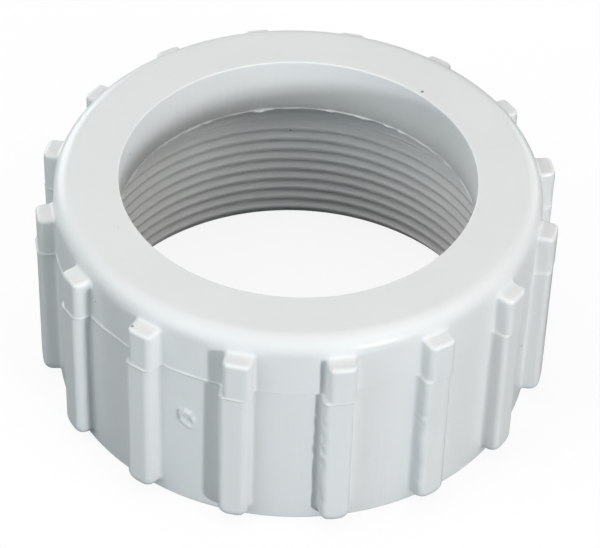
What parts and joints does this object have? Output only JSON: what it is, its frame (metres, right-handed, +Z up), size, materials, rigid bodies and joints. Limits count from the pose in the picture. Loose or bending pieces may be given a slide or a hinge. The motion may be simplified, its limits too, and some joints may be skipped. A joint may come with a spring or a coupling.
{
  "type": "pipe union nut",
  "caption": "Ribbed plastic union nut: right-hand thread inside the open end, inward lip at the other end to draw a pipe union's flanged tailpiece tight.",
  "frame": {"origin": "centre of the rim at the open, threaded end", "axes": "+Z up the nut's axis, from the open threaded end to the shouldered end; +X through the middle of one grip rib"},
  "size_m": [0.1064, 0.1064, 0.0483],
  "materials": {
    "pvc": "as-moulded white unplasticised PVC, satin"
  },
  "bodies": {
    "root": {"union_nut": "pvc"}
  },
  "joints": []
}
